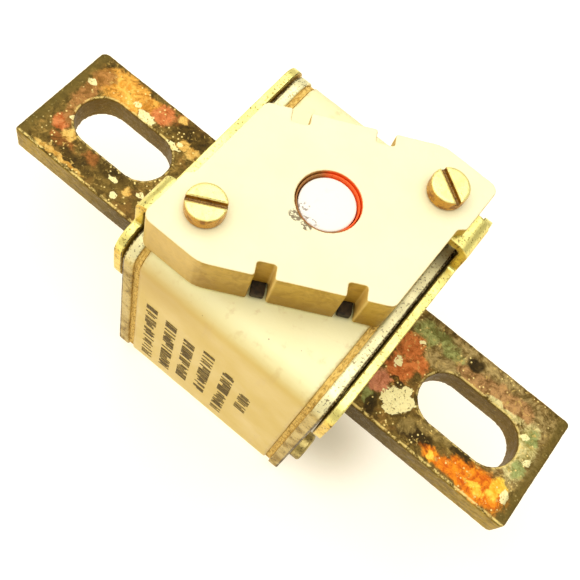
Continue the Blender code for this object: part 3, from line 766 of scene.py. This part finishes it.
def print_marks():
    """Plain ink strokes in columns on the front face, in place of print."""
    rng = random.Random(7)
    face = 0.02 - BODY_Y
    thick, tall = 0.05, 0.35
    columns = ((-13.7, 33, 5.5), (-9.3, 32.5, 8), (-5.1, 31, 10),
               (-0.8, 33, 11), (3.9, 31, 8), (8.2, 27.5, 18.5))
    bm = bmesh.new()
    for x, top, bottom in columns:
        z = top
        while z > bottom:
            wide = rng.choice((2.5, 2.5, 1.7))
            shift = rng.choice((0, 0, 0.4, -0.4)) if wide < 2 else 0
            size = Matrix.Diagonal((wide * MM, thick * MM, tall * MM, 1))
            place = Matrix.Translation(Vector((x + shift, face, z)) * MM)
            bmesh.ops.create_cube(bm, size=1, matrix=place @ size)
            z -= rng.choice((0.66, 0.66, 0.85, 0.85, 1.7))
    mesh = bpy.data.meshes.new("print_marks")
    bm.to_mesh(mesh)
    bm.free()
    piece(bevel(solid("print_marks", mesh), 0.01, 1), "ink", "ceramic")


def gaskets():
    """Fibre sheets between the ceramic and the end plates, with frayed edges."""
    rng = random.Random(3)
    spacing, fray = 0.5, 0.008
    for side, s in ENDS.items():
        outline = rectangle(BODY_Y - 0.35, BODY_Y - 0.75, BODY_R - 0.3, (0, MID_Z))
        frayed = []
        for (a, b), (c, d) in zip(outline, outline[1:] + outline[:1]):
            count = max(1, ceil(hypot(c - a, d - b) / spacing))
            for k in range(count):
                t = k / count
                scale = 1 - rng.uniform(0, fray)
                frayed.append(((a + (c - a) * t) * scale, MID_Z + (b + (d - b) * t - MID_Z) * scale))
        window = rectangle(CAVITY, CAVITY, CAVITY_R, (0, MID_Z))
        ends = sorted((s * (BODY_X - 0.08), s * (PLATE_X[0] + 0.02)))
        sheet = prism("fibre_gasket_" + side, [frayed, window], *ends, "X")
        spots = UPPER_SCREWS + LOWER_SCREWS
        cut(sheet, holes("gasket_holes", spots, CLEAR_R, BODY_X - 1, PLATE_X[0] + 1, s))
        piece(sheet, "gasket", "gasket", "gasket_" + side, sharp=50)


def end_plates():
    """Plates with a slot for the blade, and the filling hole in the right one."""
    inset = 0.03
    for side, s in ENDS.items():
        low, high = sorted(s * x for x in PLATE_X)
        sheet = rectangle(PLATE_Y - inset, PLATE_Z - inset, PLATE_R, (0, MID_Z))
        plate = prism("plate_" + side, [sheet], low, high, "X")
        bevel(plate, 0.45, 4)
        spots = UPPER_SCREWS + LOWER_SCREWS
        window = rectangle(BLADE_Y + 0.3, BLADE_T / 2 + 0.3, 0.6, (0, MID_Z))
        blade = prism("blade_slot", [window], low - 1, high + 1, "X")
        tools = [holes("plate_holes", spots, CLEAR_R, PLATE_X[0] - 1, PLATE_X[1] + 1, s), blade]
        if side == "right":
            tools.append(holes("filling_hole", [(0, PLUG_Z)], PLUG_HOLE_R, PLATE_X[0] - 1, PLATE_X[1] + 1))
        cut(plate, *tools)
        refine(plate, 0.3, 2, ((3.0, 0.06), (0.8, 0.05)))
        piece(plate, "plated", "end_plate", "end_plate_" + side)


def blades():
    """Slotted bars, made for the right end; the left one is turned round to its own."""
    inset = 0.05
    for side, s in ENDS.items():
        root, end = FOOT_START + 1.5, BLADE_END - inset
        edge = BLADE_Y - inset
        near, far = (1.1, 0.9) if s > 0 else (1.3, 0.5)     # corners of the bar's end
        plan = rounded([(root, -edge, 0), (end, -edge, near), (end, edge, far), (root, edge, 0)])
        middle = sum(SLOT_X) / 2
        slot = rectangle((SLOT_X[1] - SLOT_X[0]) / 2, SLOT_R, SLOT_R - 0.01, (middle, 0))
        half = BLADE_T / 2 - inset
        blade = prism("blade_" + side, [plan, slot], MID_Z - half, MID_Z + half)
        bevel(blade, 0.35, 2, 60)
        foot = prism("foot", [rectangle(FOOT_Y, FOOT_Z, 2.0, (0, MID_Z))], FOOT_START, FOOT_END, "X")
        bevel(foot, 0.3, 2)
        cut(blade, foot, operation="UNION")
        if s < 0:
            blade.data.transform(Matrix.Rotation(pi, 4, "Z"))
        refine(blade, 0.27, 2, ((7.0, 0.12), (1.1, 0.10), (0.5, 0.07)))
        piece(blade, "copper_" + side, "blade", "contact_blade_" + side)


# ---- brackets ----
def bend_lug(mesh, start, radius):
    """Fold what lies above start over towards the body, round the given outer radius."""
    axis = BRACKET_OUT - radius
    for vertex in mesh.vertices:
        x, y, z = vertex.co / MM
        rise = z - start
        if rise <= 0:
            continue
        depth = radius - (BRACKET_OUT - x)
        turn = min(rise / radius, pi / 2)
        past = max(0.0, rise - radius * pi / 2)
        vertex.co = Vector((axis + depth * cos(turn) - past, y, start + depth * sin(turn))) * MM


def bracket(side, s):
    """Bracket of the right end, bent from a flat blank, then turned to its end."""
    start = LUG_TOP - LUG_BEND
    tip = start + LUG_BEND * pi / 2 + (BRACKET_OUT - LUG_BEND - LUG_TIP)
    y, a, b = BRACKET_Y - 0.03, LUG_Y[side] - LUG_W / 2, LUG_Y[side] + LUG_W / 2
    below, above = BRACKET_R
    blank = rounded([(-y, BRACKET_LOW, below), (y, BRACKET_LOW, below),
                     (y, BRACKET_TOP, above), (b, BRACKET_TOP, 0.5), (b, tip, 1.0),
                     (a, tip, 1.0), (a, BRACKET_TOP, 0.5), (-y, BRACKET_TOP, above)])
    hole = tip - (ADAPTER_SCREW_X - LUG_TIP)
    low = BRACKET_OUT - BRACKET_T
    obj = prism("bracket_" + side, [blank, circle(1.95, (SCREW_Y, hole), 40)], low, BRACKET_OUT, "X")
    bevel(obj, 0.18, 2)
    bm = bmesh.new()
    bm.from_mesh(obj.data)
    folds = 12
    for k in range(folds + 1):
        cut_at = Vector((0, 0, start + LUG_BEND * pi / 2 * k / folds)) * MM
        bmesh.ops.bisect_plane(bm, geom=bm.verts[:] + bm.edges[:] + bm.faces[:], dist=1e-7,
                               plane_co=cut_at, plane_no=(0, 0, 1))
    bm.to_mesh(obj.data)
    bm.free()
    bend_lug(obj.data, start, LUG_BEND)
    wide_r, outside, inside = 3.75, BRACKET_OUT + 0.2, low - 0.3
    for row, (sy, sz) in zip(ROWS, UPPER_SCREWS):
        cone = [(0, outside), (wide_r, outside), (CLEAR_R - 0.1, inside), (0, inside)]
        cut(obj, turned("sink_" + row, cone, (0, sy, sz), "X", 48))
    refine(obj, 0.2, 2, ((4.0, 0.08), (0.7, 0.04)))
    if s < 0:
        obj.data.transform(Matrix.Rotation(pi, 4, "Z"))
    piece(obj, "zinc", "bracket", "mounting_bracket_" + side)


# ---- fasteners ----
def slotted(obj, at, turn, top, reach, axis="Z"):
    """Cut a driver's slot with broken edges across a head."""
    c, s = cos(turn), sin(turn)
    for half, deep in ((0.45, 1.0), (0.7, 0.14)):
        bar = [(at[0] + c * u - s * v, at[1] + s * u + c * v) for u, v in rectangle(reach, half)]
        cut(obj, prism("driver_slot", [bar], top - deep, top + 1, axis))
    return obj


def adapter_screws():
    """Cheese-head brass screws; each slot is turned as in the photograph."""
    slot_turn = {"left": 29.6, "right": -32.6}      # degrees
    for side, s in ENDS.items():
        node = "adapter_screw_" + side
        tip, top = span(node, "Z")
        top -= 0.05
        at = (s * ADAPTER_SCREW_X, s * SCREW_Y)
        r, under = ADAPTER_HEAD_R - 0.03, ADAPTER_Z[1] + 0.15
        profile = [(0, top), (r - 0.5, top), (r - 0.18, top - 0.08), (r - 0.04, top - 0.24),
                   (r, top - 0.5), (r, under + 0.2), (r - 0.15, under), (SHANK_R, under),
                   (SHANK_R, tip + 0.6), (SHANK_R - 0.5, tip), (0, tip)]
        screw = turned("brass_screw_" + side, profile, (*at, 0))
        slotted(screw, at, radians(slot_turn[side]), top, r + 1)
        refine(screw, 0.1, 2, ((1.4, 0.05),))
        piece(screw, "brass", "brass_screw", node)


def end_screws():
    """Steel screws low in each end plate, their slots at various turns."""
    for side, s in ENDS.items():
        for row, (y, z) in zip(ROWS, LOWER_SCREWS):
            node = "end_screw_%s_%s" % (side, row)
            low, high = sorted(abs(x) for x in span(node, "X"))
            under, r = PLATE_X[1] + 0.2, 3.05
            profile = [(0, high), (r - 0.6, high), (r - 0.2, high - 0.15), (r, high - 0.5), (r, under),
                       (SHANK_R, under), (SHANK_R, low + 0.6), (SHANK_R - 0.5, low), (0, low)]
            screw = turned("steel_screw_%s_%s" % (side, row), profile, (0, y, z), "X")
            slotted(screw, (y, z), -0.5 - y / 20, high, r + 1, "X")
            if s < 0:
                screw.data.transform(Matrix.Translation((0, 2 * y * MM, 0)) @ Matrix.Rotation(pi, 4, "Z"))
            refine(screw, 0.13, 2, ((1.0, 0.05),))
            piece(screw, "steel", "fastener", node)


# ---- adapter ----
def slope_directions():
    """Unit steps along the sloping front edge and out of it."""
    (ax, ay), (bx, by) = SLOPE
    length = hypot(bx - ax, by - ay)
    run = ((bx - ax) / length, (by - ay) / length)
    return run, (run[1], -run[0])


def notch_steps(base, steps):
    """(run, push) corners along the slope past one notch, for nested steps."""
    levels = [0.0] + [push for _, push in steps]
    entry = []
    for i, (half_width, _) in enumerate(steps):
        entry += [(-half_width, levels[i]), (-half_width, levels[i + 1])]
    leave = [(-run, push) for run, push in reversed(entry)]
    return [(base + run, push) for run, push in entry + leave]


def adapter_outline(inset, steps, radius=1.4):
    """Adapter outline moved in by inset, with (half width, push) steps at each notch."""
    run, out = slope_directions()
    fine = 0.35
    ax, ay = SLOPE[0][0] - out[0] * inset, SLOPE[0][1] - out[1] * inset
    front, waist, ear = inset - FRONT_Y, WAIST_X - inset, EAR_X - inset
    start_x = ax + run[0] * (front - ay) / run[1]
    end_y = ay + run[1] * (waist - ax) / run[0]
    half = [(-ear, -EAR_Y[1], fine), (-ear, front, radius + 0.4), (start_x, front, 6.0)]
    for nx, ny in NOTCHES:
        base = (nx - ax) * run[0] + (ny - ay) * run[1]
        for reach, push in notch_steps(base, steps):
            half.append((ax + run[0] * reach + out[0] * push, ay + run[1] * reach + out[1] * push, fine))
    half += [(waist, end_y, radius), (waist, EAR_Y[0], fine)]
    return rounded(half + [(-x, -y, r) for x, y, r in half])


def notch_windows():
    """Low openings in the notches' back walls."""
    run, out = slope_directions()
    back = NOTCH_D + NOTCH_WALL / 2
    for nx, ny in NOTCHES:
        for s in (-1, 1):
            u, v = s * (nx - out[0] * back), s * (ny - out[1] * back)
            yield [(u + run[0] * a + out[0] * b, v + run[1] * a + out[1] * b)
                   for a, b in rectangle(NOTCH_W / 2 - 0.1, 1.1)]


def adapter():
    """Hollow cover, open at the lugs, the screws, the indicator and the notches."""
    low, high = ADAPTER_Z
    inset = 0.04
    cover = prism("adapter", [adapter_outline(inset, [(NOTCH_W / 2, -NOTCH_D)])], low + inset, high - inset)
    bevel(cover, 0.9, 5, 60)
    walls = [(NOTCH_W / 2 + NOTCH_WALL, WALL - NOTCH_D - NOTCH_WALL)]
    spots = [(s * ADAPTER_SCREW_X, s * SCREW_Y) for s in ENDS.values()]
    doors = [rectangle(DOOR_HALF, LUG_W / 2 + 0.4, 0, (s * DOOR_X, s * LUG_Y[side]))
             for side, s in ENDS.items()]
    cut(cover,
        prism("pocket", [adapter_outline(WALL, walls, 1.0), circle(BOSS_R)], low - 1, SKIN_Z),
        prism("indicator_hole", [circle(HOLE_R, sides=96)], low - 1, high + 1),
        prism("screw_holes", [circle(2.2, at) for at in spots], SKIN_Z - 1, high + 1),
        prism("lug_doors", doors, low - 1, LUG_TOP + 0.25),
        prism("windows", list(notch_windows()), low - 1, NOTCH_SILL_Z))
    refine(cover, 0.22, 3, ((6.0, 0.08), (1.5, 0.04)))
    piece(cover, "plastic", "adapter", "adapter_plate")


def liner():
    """Plate that closes the adapter from below, black as painted shade for the dark hollow inside the
    adapter.
    """
    steps = [(NOTCH_W / 2 + NOTCH_WALL + 0.3, WALL - NOTCH_D - NOTCH_WALL), (NOTCH_W / 2 - 0.4, WALL - 0.15)]
    outline = adapter_outline(WALL + 0.3, steps, 1.0)
    sheet = prism("liner", [outline, circle(BOSS_R + 0.4)], *span("adapter_liner", "Z"))
    bevel(sheet, 0.15, 2)
    piece(sheet, "liner", "adapter", "adapter_liner", sharp=40)


# ---- indicator ----
def indicator():
    """Rim round the hole, and the plunger with its white disc."""
    low, high = span("indicator_bezel", "Z")
    inner, outer = BEZEL_R
    ring = [((inner + outer) / 2, high), (outer - 0.05, high - 0.04), (outer, high - 0.15), (outer, low),
            (inner, low), (inner, high - 0.15), (inner + 0.05, high - 0.04)]
    bezel = turned("bezel", ring, (0, 0, 0), sides=128, ring=True)
    piece(bezel, "bezel", "indicator_red", "indicator_bezel", sharp=60)
    low, high = span("indicator_cap", "Z")
    outer = CAP_R - 0.02
    profile = [(0, high), (CAP_R - 0.5, high - 0.02), (CAP_R - 0.2, high - 0.06),
               (CAP_R - 0.06, high - 0.16), (outer, high - 0.3), (outer, low), (0, low)]
    cap = turned("cap", profile, (0, 0, 0), sides=128)
    piece(cap, "cap", "indicator_white", "indicator_cap", body="plunger", sharp=60)
    low, high = span("indicator_plunger", "Z")
    head, under = CAP_R - 0.12, HEAD_LOW_Z
    profile = [(0, high), (head - 0.2, high), (head, high - 0.2), (head, under + 0.3), (head - 0.3, under),
               (STEM_R, under), (STEM_R, low + 0.2), (STEM_R - 0.2, low), (0, low)]
    plunger = turned("plunger", profile, (0, 0, 0))
    piece(plunger, "red", "indicator_red", "indicator_plunger", body="plunger", sharp=40)


def spring():
    """Coil round the plunger's stem."""
    low, high = span("indicator_spring", "Z")
    steps = 28
    curve = bpy.data.curves.new("spring", "CURVE")
    curve.dimensions = "3D"
    curve.bevel_depth = SPRING_WIRE_R * MM
    curve.bevel_resolution = 3
    curve.use_fill_caps = True
    line = curve.splines.new("POLY")
    count = SPRING_TURNS * steps
    line.points.add(count)
    for k, point in enumerate(line.points):
        t = 2 * pi * k / steps
        rise = low + SPRING_WIRE_R + (high - low - 2 * SPRING_WIRE_R) * k / count
        point.co = (SPRING_R * cos(t) * MM, SPRING_R * sin(t) * MM, rise * MM, 1)
    guide = solid("spring_line", curve)
    graph = bpy.context.evaluated_depsgraph_get()
    coil = solid("spring", bpy.data.meshes.new_from_object(guide.evaluated_get(graph)))
    bpy.data.objects.remove(guide, do_unlink=True)
    coil.data.materials.append(LOOKS["wire"])
    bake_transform(coil)
    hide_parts("indicator_spring")


def carried_over():
    """CAD pieces that stay as they are, with finished materials."""
    looks = {"bracket_screw": "steel", "filler_plug": "steel", "indicator_housing": "tube",
             "indicator_wire": "wire", "fuse_strip": "silver", "sand_filler": "sand"}
    for name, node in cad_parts.items():
        for start, look in looks.items():
            if name.startswith(start):
                for material_slot in node.material_slots:
                    material_slot.material = LOOKS[look]


# ---- stage: floor, lights and camera ----
def paper_look():
    """Glowing paper, dimmed where the body and the right blade shade it."""
    paint = Paint("floor_paper", Specular_IOR_Level=0.1)
    dim = paint.ramp(paint.spots([(24, -11, 12, 10)], 2, 0.2), 0, 1, 0, 0.7)
    glow = {"Emission Color": paint.mix(dim, (1.0, 0.93, 0.78), (1.0, 0.88, 0.6)),
            "Emission Strength": paint.ramp(dim, 0, 1, 0.8, 0.3)}
    for socket, value in glow.items():
        paint.feed(paint.shader.inputs[socket], value)
    return paint.finish(paint.mix(dim, (0.56, 0.54, 0.5), (0.4, 0.36, 0.26)), 0.9)


def stage():
    """Floor just under the part."""
    half, gap = 1.5, 0.0002
    bm = bmesh.new()
    bmesh.ops.create_grid(bm, x_segments=40, y_segments=40, size=half)
    mesh = bpy.data.meshes.new("floor")
    bm.to_mesh(mesh)
    bm.free()
    floor = solid("floor", mesh)
    floor.location.z = CAD_BOX[0].z - gap
    mesh.materials.append(paper_look())


def light(name, place, size, power, colour, target=(0, 0, 0.03)):
    """Round area light, pointed at the fuse; metres and watts."""
    lamp = bpy.data.lights.new(name, "AREA")
    lamp.shape = "DISK"
    lamp.size = size
    lamp.energy = power
    lamp.color = colour
    obj = bpy.data.objects.new(name, lamp)
    obj.location = place
    obj.rotation_euler = (Vector(target) - Vector(place)).to_track_quat("-Z", "Y").to_euler()
    bpy.context.scene.collection.objects.link(obj)


def lights():
    """Wide white light from above, a warm one from the front left and a warm sky."""
    light("key", (-0.06, 0.05, 0.62), 0.9, 4.4, (1.0, 0.99, 0.95))
    light("fill", (-0.45, -0.5, 0.35), 0.6, 0.9, (1.0, 0.85, 0.6))
    world = bpy.data.worlds.new("studio")
    world.use_nodes = True
    sky = world.node_tree.nodes["Background"].inputs
    sky["Color"].default_value = (1.0, 0.86, 0.62, 1)
    sky["Strength"].default_value = 0.33
    bpy.context.scene.world = world
    bpy.context.scene.view_settings.view_transform = "Standard"


def camera():
    """Camera of the photograph, in metres: where it is, what it looks at, and its roll."""
    place, aim = Vector((0.0171, -0.0695, 0.1807)), Vector((0.00154, -0.00257, 0.027))
    roll = radians(27.15)
    ahead = (aim - place).normalized()
    level = ahead.cross(Vector((0, 0, 1))).normalized()
    up = level.cross(ahead)
    right = cos(roll) * level + sin(roll) * up
    top = cos(roll) * up - sin(roll) * level
    lens = bpy.data.cameras.new("camera")
    lens.lens = 55.81
    lens.sensor_width = 36
    lens.clip_start = 0.01
    obj = bpy.data.objects.new("camera", lens)
    turn = Matrix((right, top, -ahead)).transposed().to_4x4()
    obj.matrix_world = Matrix.Translation(place) @ turn
    bpy.context.scene.collection.objects.link(obj)
    bpy.context.scene.camera = obj


camera()
lights()
stage()
ceramic_body()
print_marks()
gaskets()
end_plates()
blades()
for end, sign in ENDS.items():
    bracket(end, sign)
adapter_screws()
end_screws()
adapter()
liner()
indicator()
spring()
carried_over()
